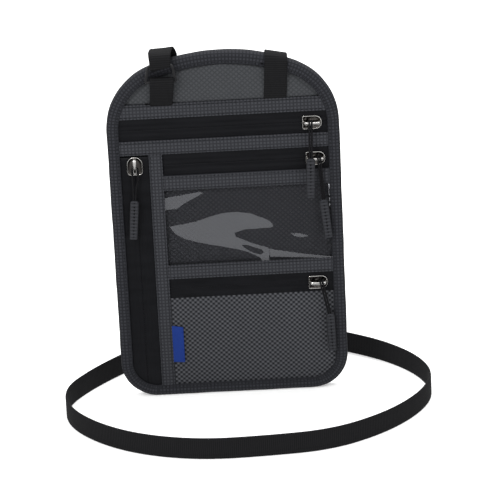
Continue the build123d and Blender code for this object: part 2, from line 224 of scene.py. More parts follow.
def embossed_mesh():
    """The lower pocket's bumpy diamond mesh: pale raised lozenges, with painted shade making the hollows between them
    near black.
    """
    s = Shader("embossed_mesh", 0.7, 0.12, Sheen_Weight=0.01, Sheen_Roughness=0.5)
    across = s.math("COSINE", s.math("MULTIPLY", s.u, 2 * math.pi / MESH_PITCH[0]))
    up = s.math("COSINE", s.math("MULTIPLY", s.v, 2 * math.pi / MESH_PITCH[1]))
    raised = s.math("POWER", s.math("MULTIPLY_ADD", s.math("MULTIPLY", across, up), 0.5, 0.5), 1.25)
    fluff = s.noise(1.1)
    # painted shade: the hollows between the raised lozenges are coloured near black
    tone = s.mix(raised, (0.0025, 0.003, 0.0045), (0.088, 0.0905, 0.1))
    s.colour(s.mix(s.noise(0.07, 3.0), tone, (0.015, 0.0155, 0.018), 0.25))
    s.bump(s.total((s.weave(0.45), 0.3), (fluff, 0.5)), 0.08)
    s.rough(fluff, 0.6, 0.82)
    return s.material


def webbing_material():
    """Black polyester webbing: fine ribs across it, threads along it, and a little fluff."""
    s = Shader("webbing", 0.7, 0.08)
    ribs, threads = s.wave(s.u, 1.15), s.wave(s.v, 0.62)
    fluff = s.noise(0.9, 3.0, (1.0, 2.5, 1.0))
    tone = s.mix(s.math("MULTIPLY", ribs, threads), (0.0032, 0.0032, 0.0036), (0.0165, 0.0165, 0.018))
    s.colour(s.mix(fluff, tone, (0.0155, 0.0155, 0.017), 0.35))
    s.bump(s.total((ribs, 0.6), (threads, 0.4), (fluff, 0.2)), 0.07)
    s.rough(fluff, 0.55, 0.8)
    return s.material


def tape_material():
    """Coated zipper tape: near-black film with a faint knit and long shallow creases."""
    s = Shader("coated_tape", 0.5, 0.12)
    streaks = s.noise(0.25, 3.0, (0.15, 1.0, 1.0))
    s.colour(s.mix(streaks, (0.0028, 0.003, 0.004), (0.0072, 0.0075, 0.0095)))
    s.bump(s.total((s.weave(0.8), 0.25), (streaks, 1.0)), 0.1)
    s.rough(streaks, 0.42, 0.62)
    return s.material


def thread_material(name, dark, light, pitch):
    """Twisted sewing thread or braided cord: two sets of strands that cross on a slant."""
    s = Shader(name, 0.65, 0.1)
    slant = s.math("MULTIPLY", s.v, 1.2)
    one, other = [s.wave(s.math(way, s.u, slant), pitch * 2) for way in ("ADD", "SUBTRACT")]
    strands = s.math("MAXIMUM", one, other)
    fluff = s.noise(1.5)
    s.colour(s.mix(s.math("MULTIPLY", strands, fluff), dark, light))
    s.bump(strands, 0.12)
    s.rough(fluff, 0.55, 0.8)
    return s.material


def metal_material(name, dark, light, roughness, metallic=1.0, specular=0.5):
    """Plated metal with fine tumbling marks and a slightly cloudy tone."""
    s = Shader(name, roughness, specular, Metallic=metallic)
    marks = s.noise(2.2, 4.0, (1.0, 3.0, 1.0))
    s.colour(s.mix(s.noise(0.35), dark, light))
    s.bump(marks, 0.012)
    s.rough(marks, roughness * 0.75, roughness * 1.35)
    return s.material


def plastic_material():
    """Black nylon zipper coil."""
    s = Shader("coil_nylon", 0.4, 0.4)
    marks = s.noise(1.0, 3.0)
    s.colour(s.mix(marks, (0.008, 0.008, 0.009), (0.02, 0.02, 0.022)))
    s.bump(marks, 0.03)
    s.rough(marks, 0.32, 0.5)
    return s.material


def label_material():
    """Woven satin label: fine picks across it, and slightly uneven dye."""
    s = Shader("woven_label", 0.5, 0.12, Sheen_Weight=0.02, Sheen_Roughness=0.4)
    picks = s.wave(s.v, 0.42)
    cloud = s.noise(0.35, 3.0)
    tone = s.mix(picks, (0.003, 0.016, 0.12), (0.007, 0.03, 0.18))
    s.colour(s.mix(cloud, tone, (0.011, 0.042, 0.24), 0.35))
    s.bump(s.total((picks, 1.0), (s.wave(s.u, 0.9), 0.4)), 0.07)
    s.rough(cloud, 0.42, 0.62)
    return s.material


def grip_material():
    """Folded ripstop of a pull: a middle line of dark stitches, with painted shade in the shallow grooves across at
    each one and along its rounded side edges.
    """
    s = Shader("pull_grip", 0.7, 0.12, Sheen_Weight=0.01, Sheen_Roughness=0.5)
    rungs = s.wave(s.v, GRIP_PITCH, 2.0)
    off = s.math("MULTIPLY", s.u, 1 / GRIP_LINE)
    middle = s.math("EXPONENT", s.math("MULTIPLY", s.math("MULTIPLY", off, off), -1.0))
    # dark thread along the middle line, and painted shade across the whole width in the groove at each stitch
    stitches_and_painted_groove_shade = s.math("MULTIPLY", rungs, s.math("MAXIMUM", middle, 0.55))
    out = s.math("MINIMUM", s.math("ABSOLUTE", s.math("MULTIPLY", s.u, 2 / GRIP_WIDTH)), 1.0)
    # painted shade along the grip's rounded side edges
    dark = s.math("MAXIMUM", stitches_and_painted_groove_shade, s.math("MULTIPLY", s.math("POWER", out, 6.0), 0.8))
    fluff = s.noise(1.4)
    tone = s.mix(dark, (0.031, 0.0322, 0.037), (0.0022, 0.0024, 0.0032))
    s.colour(s.mix(fluff, tone, (0.02, 0.0205, 0.024), 0.35))
    s.bump(s.total((s.weave(0.5), 0.3), (fluff, 0.4)), 0.1)
    s.rough(fluff, 0.6, 0.82)
    return s.material


def film_material(name, mirror):
    """Clear soft vinyl: see-through, with a glossy skin that mirrors that share of the light."""
    s = Shader(name, 0.05, 0.5, Metallic=1.0)
    haze = s.noise(0.05)
    s.colour(s.mix(haze, (0.9, 0.92, 0.99), (0.95, 0.965, 1.0)))
    s.rough(haze, 0.035, 0.07)
    clear = s.tree.nodes.new("ShaderNodeBsdfTransparent")
    angle = s.tree.nodes.new("ShaderNodeLayerWeight")
    grazing = s.math("POWER", angle.outputs["Facing"], 5.0)
    both = s.tree.nodes.new("ShaderNodeMixShader")
    s.tree.links.new(s.math("MULTIPLY_ADD", grazing, GRAZING_MIRROR - mirror, mirror), both.inputs[0])
    s.tree.links.new(clear.outputs[0], both.inputs[1])
    s.tree.links.new(s.bsdf.outputs[0], both.inputs[2])
    s.tree.links.new(both.outputs[0], s.tree.nodes["Material Output"].inputs["Surface"])
    return s.material


MATERIALS = {
    "diamond": ripstop(
        "diamond_ripstop", (0.047, 0.0495, 0.0535), (0.025, 0.0265, 0.0295), DIAMOND_GRID, diagonal=True
    ),
    "backing": ripstop(
        "window_backing", (0.033, 0.034, 0.039), (0.0135, 0.014, 0.0165), DIAMOND_GRID, 0.12, diagonal=True
    ),
    "square": ripstop("square_ripstop", (0.04, 0.0415, 0.0475), (0.0085, 0.009, 0.0115)),
    "edge": ripstop("edge_ripstop", (0.028, 0.029, 0.0345), (0.0035, 0.004, 0.0055)),
    "lining": ripstop("lining", (0.03, 0.03, 0.034), (0.02, 0.02, 0.023), LINING_GRID, 0.04),
    "mesh": embossed_mesh(),
    "webbing": webbing_material(),
    "tape": tape_material(),
    "coil": plastic_material(),
    "thread": thread_material("sewing_thread", (0.006, 0.0065, 0.008), (0.03, 0.031, 0.036), 0.4),
    "black_thread": thread_material("black_thread", (0.001, 0.001, 0.0012), (0.004, 0.004, 0.0045), 0.4),
    "cord": thread_material("braided_cord", (0.002, 0.002, 0.0025), (0.016, 0.016, 0.018), 0.6),
    "gunmetal": metal_material("gunmetal", (0.08, 0.074, 0.07), (0.14, 0.13, 0.122), 0.2),
    # painted highlight: a paler copy of the slider's metal, used for its rim and bridge
    "bright": metal_material("highlight_painted_plating", (0.66, 0.65, 0.63), (1.0, 0.985, 0.96), 0.13),
    "ring": metal_material("black_plating", (0.008, 0.008, 0.009), (0.02, 0.02, 0.022), 0.3, 0.0, 0.35),
    "label": label_material(),
    "grip": grip_material(),
    "film": film_material("clear_film", FILM_MIRROR),
    "film_edge": film_material("folded_film", FOLD_MIRROR),
}


# ---------------------------------------------------------------- mesh helpers


def make(name, vertices, faces, uv, body, material, slot, nodes=(), weld=False):
    """Make one piece from points in millimetres, one UV in millimetres per point, and ride it on its body.

    A piece named as a CAD node stands for that node.
    """
    if name in frame["nodes"]:
        nodes = (name,)
        name += "_made"
    mesh = bpy.data.meshes.new(name)
    mesh.from_pydata([tuple(p) for p in np.asarray(vertices, float) * MM], [], [tuple(f) for f in faces])
    layer = mesh.uv_layers.new(name="UVMap")
    corner = np.zeros(len(mesh.loops), int)
    mesh.loops.foreach_get("vertex_index", corner)
    layer.data.foreach_set("uv", np.asarray(uv, float)[corner].ravel())
    work = bmesh.new()
    work.from_mesh(mesh)
    if weld:
        bmesh.ops.remove_doubles(work, verts=work.verts, dist=0.02 * MM)
    bmesh.ops.recalc_face_normals(work, faces=work.faces)
    work.to_mesh(mesh)
    work.free()
    mesh.polygons.foreach_set("use_smooth", [True] * len(mesh.polygons))
    piece = bpy.data.objects.new(name, mesh)
    scene.collection.objects.link(piece)
    mesh.materials.append(MATERIALS[material])
    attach(piece, body)
    if nodes:
        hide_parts(*nodes)
    return piece


def join(parts):
    """Put several (vertices, faces, uv) sets together."""
    vertices, faces, uv, start = [], [], [], 0
    for v, f, t in parts:
        vertices.append(np.asarray(v, float))
        faces += [tuple(i + start for i in face) for face in f]
        uv.append(np.asarray(t, float))
        start += len(v)
    return np.concatenate(vertices), faces, np.concatenate(uv)


def ripple(x, z, size, seed):
    """Smooth uneven waves about size millimetres long, from -1 to 1, the same every time."""
    total = 0.0
    for k in range(6):
        turn = seed * 1.7 + k * 2.4
        rate = 2 * math.pi / (size * (0.7 + 0.23 * k))
        total = total + np.sin((x * math.cos(turn) + z * math.sin(turn)) * rate + seed * 3.1 + k * 1.3)
    return total / 6


def smooth_line(points, resolution=12):
    """Points read from the NURBS spline with these control points, in the unit they are given in."""
    curve = bpy.data.curves.new("line", "CURVE")
    curve.dimensions = "3D"
    spline = curve.splines.new("NURBS")
    spline.points.add(len(points) - 1)
    for place, point in zip(spline.points, points):
        place.co = (*point, 1.0)
    spline.order_u = 3
    spline.use_endpoint_u = True
    spline.resolution_u = resolution
    holder = bpy.data.objects.new("line", curve)
    mesh = bpy.data.meshes.new_from_object(holder)
    line = np.array([v.co for v in mesh.vertices], float)
    bpy.data.objects.remove(holder)
    bpy.data.curves.remove(curve)
    bpy.data.meshes.remove(mesh)
    return line


def lengths(line):
    """Distance along the line to each of its points."""
    steps = np.linalg.norm(np.diff(line, axis=0), axis=1)
    return np.concatenate([[0.0], np.cumsum(steps)])


def tangents(line, closed):
    if closed:
        along = np.roll(line, -1, axis=0) - np.roll(line, 1, axis=0)
    else:
        along = np.gradient(line, axis=0)
    return along / np.maximum(np.linalg.norm(along, axis=1)[:, None], 1e-9)


def unit(vectors):
    return vectors / np.maximum(np.linalg.norm(vectors, axis=-1, keepdims=True), 1e-9)


def bell(distance, width):
    """1 at no distance, falling smoothly to nothing beyond about two widths."""
    return np.exp(-((distance / width) ** 2))


def ease(share):
    """A share from 0 to 1 that starts and ends smoothly."""
    return 3 * share**2 - 2 * share**3


def grid_quads(rows, columns):
    """The numbers of a grid's points, counted along its rows, and its faces."""
    index = np.arange(rows * columns).reshape(rows, columns)
    quads = np.stack([index[:-1, :-1], index[:-1, 1:], index[1:, 1:], index[1:, :-1]], axis=-1)
    return index, quads.reshape(-1, 4)


def rings(count, around, closed, caps=True):
    """Faces of a tube made of count rings of points, stacked in order, with around points in each."""
    faces = []
    for i in range(count if closed else count - 1):
        j = (i + 1) % count
        for k in range(around):
            m = (k + 1) % around
            faces.append((i * around + k, i * around + m, j * around + m, j * around + k))
    if caps and not closed:
        faces.append(tuple(range(around)))
        faces.append(tuple((count - 1) * around + k for k in reversed(range(around))))
    return faces


def swept(line, width_way, section, closed=False):
    """A tube along the line whose section points are (across, out), across being along width_way."""
    line = np.asarray(line, float)
    along = tangents(line, closed)
    across = np.asarray(width_way, float) * np.ones_like(line)
    across = unit(across - along * (across * along).sum(1)[:, None])
    out = np.cross(along, across)
    section = np.asarray(section, float)
    vertices = (
        line[:, None, :]
        + across[:, None, :] * section[None, :, :1]
        + out[:, None, :] * section[None, :, 1:]
    ).reshape(-1, 3)
    loop = np.vstack([section, section[:1]])
    around = lengths(loop)[:-1]
    s = lengths(line)
    uv = np.stack(np.broadcast_arrays(s[:, None], around[None, :]), axis=-1).reshape(-1, 2)
    return vertices, rings(len(line), len(section), closed), uv


def round_section(radius, sides=12, flat=1.0):
    turn = np.linspace(0, 2 * math.pi, sides, endpoint=False)
    return np.stack([np.cos(turn) * radius, np.sin(turn) * radius * flat], axis=1)


def ribbon_section(width, thickness):
    """Webbing's section: flat faces that crown a little, and rounded woven edges."""
    half, thick = width / 2, thickness / 2
    across = np.array([-1, -0.97, -0.88, -0.6, -0.2, 0.2, 0.6, 0.88, 0.97, 1]) * half
    rise = np.array([0.35, 0.78, 0.95, 0.97, 1.0, 1.0, 0.97, 0.95, 0.78, 0.35]) * thick
    top = np.stack([across, rise], axis=1)
    bottom = np.stack([across[::-1], -rise[::-1]], axis=1)
    return np.vstack([top, bottom])


def plate(outline, profile, origin, along, across):
    """A plate from a flat outline and (inset, depth) steps from its back edge to its front, closed at both ends."""
    outline = np.asarray(outline, float)
    edge = unit(np.roll(outline, -1, axis=0) - outline)
    mean = unit(edge + np.roll(edge, 1, axis=0))
    normal = np.stack([mean[:, 1], -mean[:, 0]], axis=1)
    vertices, uv = [], []
    for inset, depth in profile:
        flat = outline - normal * inset
        vertices.append(origin + flat[:, :1] * along + flat[:, 1:] * across + FRONT * depth)
        uv.append(flat)
    count = len(outline)
    vertices, uv = np.concatenate(vertices), np.concatenate(uv)
    faces = rings(len(profile), count, False, caps=False)
    for ring, depth in ((0, profile[0][1]), (len(profile) - 1, profile[-1][1])):
        middle = vertices[ring * count : (ring + 1) * count].mean(0)
        vertices = np.vstack([vertices, middle])
        uv = np.vstack([uv, uv[ring * count : (ring + 1) * count].mean(0)])
        last = len(vertices) - 1
        faces += [(ring * count + k, ring * count + (k + 1) % count, last) for k in range(count)]
    return vertices, faces, uv


def rounded(width, height, left, right, steps=7):
    """A rectangle's outline, counter-clockwise about its middle, with those corner radii at its left and right."""
    points = []
    for x, z, radius, start in ((1, -1, right, 270), (1, 1, right, 0), (-1, 1, left, 90), (-1, -1, left, 180)):
        for turn in np.radians(np.linspace(start, start + 90, steps)):
            points.append((
                x * (width / 2 - radius) + radius * math.cos(turn),
                z * (height / 2 - radius) + radius * math.sin(turn),
            ))
    return np.array(points)


STITCH_PITCH = 2.6
# How far a row of stitches is from the sewn edge
STITCH_IN = 1.15


def stitches(path, normal, pitch=STITCH_PITCH, length=1.9, width=0.36, lift=0.05, start=0.0):
    """A row of thread stitches along a line; each is a short fat lozenge that dips at both ends."""
    path = np.asarray(path, float)
    s = lengths(path)
    places = np.arange(start + pitch / 2, s[-1] - pitch / 2, pitch)
    centre = np.stack([np.interp(places, s, path[:, k]) for k in range(3)], axis=1)
    ahead = np.stack([np.interp(np.minimum(places + 0.3, s[-1]), s, path[:, k]) for k in range(3)], axis=1)
    along = unit(ahead - centre + 1e-9)
    normal = np.asarray(normal, float) * np.ones_like(centre)
    side = unit(np.cross(along, normal))
    sides = 6
    turn = np.linspace(0, 2 * math.pi, sides, endpoint=False)
    steps = ((-0.5, 0.25, -0.6), (-0.34, 0.85, 0.0), (0.0, 1.0, 0.35), (0.34, 0.85, 0.0), (0.5, 0.25, -0.6))
    vertices, uv = [], []
    for share, fat, rise in steps:
        ring = (
            centre[:, None, :]
            + along[:, None, :] * share * length
            + normal[:, None, :] * (lift + rise * width * 0.5)
            + side[:, None, :] * (np.cos(turn)[None, :, None] * fat * width / 2)
            + normal[:, None, :] * (np.sin(turn)[None, :, None] * fat * width / 2)
        )
        vertices.append(ring)
        uv.append(np.stack(np.broadcast_arrays(places[:, None] + share * length, turn[None, :] * 0.1), axis=-1))
    vertices = np.stack(vertices, axis=1).reshape(-1, 3)
    uv = np.stack(uv, axis=1).reshape(-1, 2)
    one = rings(len(steps), sides, False)
    each = len(steps) * sides
    faces = [tuple(i + n * each for i in face) for n in range(len(places)) for face in one]
    return vertices, faces, uv


# ---------------------------------------------------------------- the neck strap, a free cord

STRAP_ROUTE = [
    (0.031, 0.0068, 0.185), (0.031, 0.0096, 0.156), (0.027, 0.012, 0.125),
    (0.0185, 0.0145, 0.093), (0.0105, 0.0175, 0.06), (0.0085, 0.0265, 0.033),
    (0.0135, 0.041, 0.015), (0.03, 0.0525, 0.00635), (0.051, 0.054, 0.00635),
    (0.07, 0.0435, 0.00635), (0.091, 0.027, 0.00635), (0.1075, 0.005, 0.00635),
    (0.1135, -0.02, 0.00635), (0.1035, -0.045, 0.00635), (0.082, -0.0685, 0.00635),
    (0.052, -0.086, 0.00635), (0.016, -0.09, 0.00635), (-0.021, -0.091, 0.00635),
    (-0.055, -0.0805, 0.00635), (-0.08, -0.062, 0.00635), (-0.0965, -0.038, 0.00635),
    (-0.098, -0.013, 0.00635), (-0.0845, 0.009, 0.00635), (-0.0675, 0.0285, 0.00635),
    (-0.05, 0.0455, 0.00635), (-0.029, 0.049, 0.00635), (-0.0115, 0.0385, 0.015),
    (-0.0065, 0.025, 0.033), (-0.009, 0.0165, 0.06), (-0.0185, 0.0135, 0.093),
    (-0.0285, 0.0115, 0.125), (-0.0332, 0.0096, 0.156), (-0.0332, 0.0068, 0.185),
]
# Which way the webbing's width points at some of the route's points: across the back, then turning to stand on edge
RIGHT_TWIST = {
    0: (1, 0, 0), 2: (1, 0, 0), 3: (0.98, -0.15, 0), 4: (0.92, -0.38, 0), 5: (0.72, -0.66, 0.1),
    6: (0.5, -0.7, 0.45), 7: (0.2, -0.45, 0.85), 8: (0, 0, 1),
}
# The webbing's width and thickness in millimetres
WEBBING = (12.7, 1.3)


def strap():
    """The free strap: webbing that follows the route's spline, flat down the back and on edge round the floor."""
    line = smooth_line(STRAP_ROUTE) / MM
    twist = dict(RIGHT_TWIST)
    for place, way in RIGHT_TWIST.items():
        twist[len(STRAP_ROUTE) - 1 - place] = (-way[0], way[1], way[2])
    places, ways = [], []
    for place in sorted(twist):
        point = np.array(STRAP_ROUTE[place]) / MM
        places.append(int(np.linalg.norm(line - point, axis=1).argmin()))
        ways.append(twist[place])
    ways = np.array(ways, float)
    across = np.stack([np.interp(np.arange(len(line)), places, ways[:, k]) for k in range(3)], axis=1)
    made = swept(line, across, ribbon_section(*WEBBING))
    made[0][:, 2] = np.maximum(made[0][:, 2], 0.02)
    stands_for = ("strap_right_riser", "strap_floor_loop", "strap_left_riser")
    piece = make("neck_strap", *made, "pouch", "webbing", "webbing", stands_for)


strap()


# ---------------------------------------------------------------- the pouch's outline

# Straight sides between rounded bottom corners and shoulders, which a flatter crown joins
BOTTOM_RADIUS = 21.0
SHOULDER_RADIUS = 40.0
(_, HALF, _, POUCH_TOP), (BINDING_BACK, BINDING_FRONT) = box_mm("edge_binding")
SHOULDER_Z = POUCH_TOP - 44.8
SHOULDER_X = HALF - SHOULDER_RADIUS
RISE = POUCH_TOP - SHOULDER_Z
CROWN_RADIUS = (SHOULDER_X**2 + RISE**2 - SHOULDER_RADIUS**2) / (2 * (RISE - SHOULDER_RADIUS))
CROWN_Z = POUCH_TOP - CROWN_RADIUS
JOIN = math.atan2(SHOULDER_Z - CROWN_Z, SHOULDER_X)
BINDING_WIDTH = 6.8
# How far in from the pouch's edge the front panels end, under the binding
TUCK = 4.6


def half_width(z, inset):
    """Half the pouch's width at a height, moved in from its edge."""
    if z < BOTTOM_RADIUS:
        radius = BOTTOM_RADIUS - inset
        return HALF - BOTTOM_RADIUS + math.sqrt(max(radius**2 - (BOTTOM_RADIUS - z) ** 2, 0.0))
    if z <= SHOULDER_Z:
        return HALF - inset
    radius = SHOULDER_RADIUS - inset
    if z - SHOULDER_Z < radius * math.sin(JOIN):
        return SHOULDER_X + math.sqrt(radius**2 - (z - SHOULDER_Z) ** 2)
    radius = CROWN_RADIUS - inset
    return math.sqrt(max(radius**2 - (z - CROWN_Z) ** 2, 0.0))


def outline(step):
    """Points (x, z) round the pouch's edge, counter-clockwise from the bottom, with their outward normals."""
    points, normals = [], []

    def run(a, b, normal):
        count = max(2, round(math.dist(a, b) / step))
        for share in np.arange(count) / count:
            points.append((a[0] + (b[0] - a[0]) * share, a[1] + (b[1] - a[1]) * share))
            normals.append(normal)

    def arc(x, z, radius, start, stop):
        count = max(2, round(radius * (stop - start) / step))
        for turn in start + (stop - start) * np.arange(count) / count:
            normals.append((math.cos(turn), math.sin(turn)))
            points.append((x + radius * math.cos(turn), z + radius * math.sin(turn)))

    corner = HALF - BOTTOM_RADIUS
    run((-corner, 0), (corner, 0), (0, -1))
    arc(corner, BOTTOM_RADIUS, BOTTOM_RADIUS, -math.pi / 2, 0)
    run((HALF, BOTTOM_RADIUS), (HALF, SHOULDER_Z), (1, 0))
    arc(SHOULDER_X, SHOULDER_Z, SHOULDER_RADIUS, 0, JOIN)
    arc(0, CROWN_Z, CROWN_RADIUS, JOIN, math.pi - JOIN)
    arc(-SHOULDER_X, SHOULDER_Z, SHOULDER_RADIUS, math.pi - JOIN, math.pi)
    run((-HALF, SHOULDER_Z), (-HALF, BOTTOM_RADIUS), (-1, 0))
    arc(-corner, BOTTOM_RADIUS, BOTTOM_RADIUS, math.pi, 1.5 * math.pi)
    return np.array(points), np.array(normals)


def at_depth(flat, depth):
    """Points (x, z) as 3-D points at that depth."""
    flat = np.asarray(flat, float)
    return np.stack([flat[:, 0], -depth * np.ones(len(flat)), flat[:, 1]], axis=1)


# ---------------------------------------------------------------- panels


def ticks(low, high, step, fine_low=0.0, fine_high=0.0):
    """Places from low to high about step apart, with closer ones inside each fine margin."""
    start, stop = low + fine_low, high - fine_high
    inner = np.linspace(start, stop, max(2, round((stop - start) / step) + 1))
    shares = np.array([0.0, 0.06, 0.22, 0.55])
    before = low + shares * fine_low if fine_low else []
    after = high - shares[::-1] * fine_high if fine_high else []
    return np.concatenate([before, inner, after])


def rounding(distance, radius):
    """How far a rounded edge has dropped at that distance from it."""
    gap = np.clip(1 - distance / radius, 0, 1)
    return radius * (1 - np.sqrt(np.clip(1 - gap**2, 0, 1)))


def inside_binding(x, z):
    """How far each point is inside the binding's inner edge, sideways."""
    return np.array([[half_width(b, BINDING_WIDTH) for b in a] for a in z]) - np.abs(x)


def sheet(zs, shares, left, right, back, front, shape, facing=1):
    """A closed thin panel on a grid of rows zs and columns at shares of the way from left(z) to right(z).

    shape(x, z) is how far its face stands out from the CAD's front, or from its back where facing is -1.
    """
    x = np.array([[left(z) + max(right(z) - left(z), 0.05) * s for s in shares] for z in zs])
    z = np.repeat(np.asarray(zs)[:, None], len(shares), axis=1)
    face = (front if facing > 0 else back) + facing * shape(x, z)
    other = (back if facing > 0 else front) * np.ones_like(x)
    vertices = np.concatenate([np.stack([x, -d, z], axis=-1).reshape(-1, 3) for d in (face, other)])
    uv = np.tile(np.stack([x, z], axis=-1).reshape(-1, 2), (2, 1))
    index, quads = grid_quads(*x.shape)
    second = quads[:, ::-1] + x.size
    border = np.concatenate([index[0, :], index[1:, -1], index[-1, -2::-1], index[-2:0:-1, 0]])
    after = np.roll(border, -1)
    sides = np.stack([border, border + x.size, after + x.size, after], axis=-1)
    return vertices, np.concatenate([quads, second, sides]).tolist(), uv


def across_pouch(zs, columns, inset, depths, shape, facing=1):
    """A panel from side to side, its ends that far in from the pouch's edge."""
    ends_at = (lambda z: -half_width(z, inset), lambda z: half_width(z, inset))
    return sheet(zs, np.linspace(0, 1, columns), *ends_at, *depths, shape, facing)


def panel_between(node, shape, step, edge, ends=(False, False), row_step=None):
    """A panel in the place of a CAD node: rounded at its top and bottom, each end tucked in or rounded."""
    (x0, x1, z0, z1), depths = box_mm(node)
    zs = ticks(z0, z1, row_step or step, edge, edge)
    shares = (ticks(x0, x1, step, edge if ends[0] else 0, edge if ends[1] else 0) - x0) / (x1 - x0)

    def surface(x, z):
        drop = rounding(np.minimum(z - z0, z1 - z), edge)
        if ends[0]:
            drop = np.maximum(drop, rounding(x - x0, edge))
        if ends[1]:
            drop = np.maximum(drop, rounding(x1 - x, edge))
        return shape(x, z) - drop

    ends_at = (lambda z: max(x0, -half_width(z, TUCK)), lambda z: min(x1, half_width(z, TUCK)))
    return sheet(zs, shares, *ends_at, *depths, surface)


def folded_strip(node, seed, ends=(False, False), upright=False):
    """A folded fabric strip: edges rolled under, sewn near both, uneven, with a fold line along its middle."""
    (x0, x1, z0, z1), (_, front) = box_mm(node)

    def shape(x, z):
        near = np.minimum(x - x0, x1 - x) if upright else np.minimum(z - z0, z1 - z)
        line = x - (x0 + x1) / 2 if upright else z - (z0 + z1) / 2
        wander = 0.35 * ripple(x, z, 38.0, seed + 2)
        groove = -0.2 * bell(near - STITCH_IN, 0.45) - 0.22 * bell(line - wander, 0.4)
        puff = 0.1 * np.clip(near / 3.0, 0, 1)
        return groove + puff + 0.07 * ripple(x, z, 17.0, seed) + 0.035 * ripple(x, z, 5.0, seed + 1)

    made = panel_between(node, shape, step=0.9, edge=0.55, ends=ends, row_step=0.55)
    make(node, *made, "pouch", "square", "binding")
    rows = []
    depth = front - 0.08
    if upright:
        for x in (x0 + STITCH_IN, x1 - STITCH_IN):
            rows.append(stitches([(x, -depth, z0), (x, -depth, z1)], FRONT))
    else:
        for z in (z0 + STITCH_IN, z1 - STITCH_IN):
            a, b = max(x0, -half_width(z, 6.0)), min(x1, half_width(z, 6.0))
            rows.append(stitches([(a, -depth, z), (b, -depth, z)], FRONT, start=seed * 0.3))
    make(f"{node}_stitching", *join(rows), "pouch", "thread", "binding")


def edge_binding():
    """Padded tape folded round the edge: a hollow U, puffed between its stitching and its fold, with small puckers."""
    flat, normal = outline(0.65)
    count = len(flat)
    s = lengths(np.vstack([flat, flat[:1]]))
    total = s[-1]
    s = s[:-1]
    turn = s / total * 2 * math.pi
    slow = 0.5 * np.sin(turn * 13 + 0.4) + 0.3 * np.sin(turn * 29 + 1.9) + 0.2 * np.sin(turn * 47 + 4.0)
    pucker = np.cos(turn * round(total / STITCH_PITCH))
    front, back = BINDING_FRONT, -BINDING_BACK
    # Each row of the section: how far in from the edge, how deep, and how much it waves slowly and puckers
    section = []
    for side, full in ((1, front), (-1, back)):
        inner = full - 1.2
        rows = [
            (BINDING_WIDTH - 1.0, inner, 0, 0),
            (BINDING_WIDTH, inner + 0.1, 0, 0),
            (BINDING_WIDTH + 0.05, full - 0.65, 0, 0.02),
            (BINDING_WIDTH - 0.15, full - 0.28, 0, 0.05),
            (BINDING_WIDTH - 0.6, full - 0.12, 0.02, 0.05),
            (BINDING_WIDTH - STITCH_IN, full - 0.42, 0.03, 0.09),
            (BINDING_WIDTH - 1.8, full - 0.1, 0.08, 0.06),
            (BINDING_WIDTH - 2.8, full + 0.06, 0.16, 0.05),
            (2.5, full - 0.02, 0.18, 0.03),
            (1.35, full - 0.34, 0.12, 0),
            (0.7, full - 0.8, 0.08, 0),
            (0.25, full - 1.5, 0.05, 0),
            (0.03, full - 2.4, 0.03, 0),
        ]
        section.append([(inset, side * depth, side * a, side * b) for inset, depth, a, b in rows])
    middle = [(0.0, 0.3, 0.0, 0.0)]
    hollow = [(1.3, -back + 1.3, 0, 0), (1.3, front - 1.3, 0, 0)]
    rows = section[0] + middle + section[1][::-1] + hollow
    vertices, uv = [], []
    around = 0.0
    last = None
    for inset, depth, wavy, puckered in rows:
        flat_in = flat - normal * (inset - 0.12 * np.clip(1 - inset / 2, 0, 1) * slow[:, None])
        out = depth + wavy * slow + puckered * pucker
        vertices.append(np.stack([flat_in[:, 0], -out, flat_in[:, 1]], axis=1))
        if last is not None:
            around += math.dist(last, (inset, depth))
        last = (inset, depth)
        uv.append(np.stack([s, np.full(count, around)], axis=1))
    vertices = np.stack(vertices, axis=1).reshape(-1, 3)
    uv = np.stack(uv, axis=1).reshape(-1, 2)
    piece = make("edge_binding", vertices, rings(count, len(rows), True), uv, "pouch", "edge", "binding")
    loops = []
    for depth, way in ((front - 0.2, FRONT), (-back + 0.2, -FRONT)):
        path = at_depth(flat - normal * (BINDING_WIDTH - STITCH_IN), depth)
        loops.append(stitches(np.vstack([path, path[:1]]), way))
    make("edge_binding_stitching", *join(loops), "pouch", "thread", "binding")


edge_binding()

folded_strip("top_strip", 1)
folded_strip("cross_strip", 2)
folded_strip("upright_strip", 3, ends=(True, True), upright=True)
folded_strip("window_strip", 4, ends=(True, False))
folded_strip("sill_strip", 5, ends=(True, False))


def yoke():
    """The diamond ripstop panel above the top zipper, slack between its seams and pulled down where it is bound."""
    (_, _, z0, _), depths = box_mm("yoke_panel")

    def shape(x, z):
        rim = inside_binding(x, z)
        near = np.clip(np.minimum(rim, z - z0) / 7.0, 0, 1)
        seam = 0.8 * np.exp(-((z - z0) / 4.0)) * np.clip(rim / 4.0, 0, 1)
        slack = near * (0.22 * ripple(x, z, 34.0, 7) + 0.07 * ripple(x, z, 11.0, 8))
        return 1.15 * ease(near) + seam + slack - rounding(z - z0, 0.6)

    top = POUCH_TOP - TUCK
    zs = np.concatenate([ticks(z0, top - 3, 1.0, 0.6, 0), np.linspace(top - 2.5, top - 0.02, 9)])
    piece = make("yoke_panel", *across_pouch(zs, 115, TUCK, depths, shape), "pouch", "diamond", "ripstop")


yoke()


def back_panel():
    """The plain ripstop back: slack fabric with shallow drag lines, seen from behind."""

    def shape(x, z):
        ends = np.minimum(z - BINDING_WIDTH, POUCH_TOP - BINDING_WIDTH - z)
        near = np.clip(np.minimum(inside_binding(x, z), ends) / 9.0, 0, 1)
        slack = 0.35 + 0.35 * ripple(x, z, 62.0, 11) + 0.16 * ripple(x, z * 0.6, 21.0, 12)
        return ease(near) * slack + 0.02 * ripple(x, z, 6.0, 13)

    _, depths = box_mm("back_panel")
    zs = np.concatenate([[5.02, 5.3], np.arange(6.0, POUCH_TOP - 6.0, 1.7), [POUCH_TOP - 5.3, POUCH_TOP - 5.02]])
    piece = make("back_panel", *across_pouch(zs, 76, 5.0, depths, shape, -1), "pouch", "diamond", "ripstop")


back_panel()


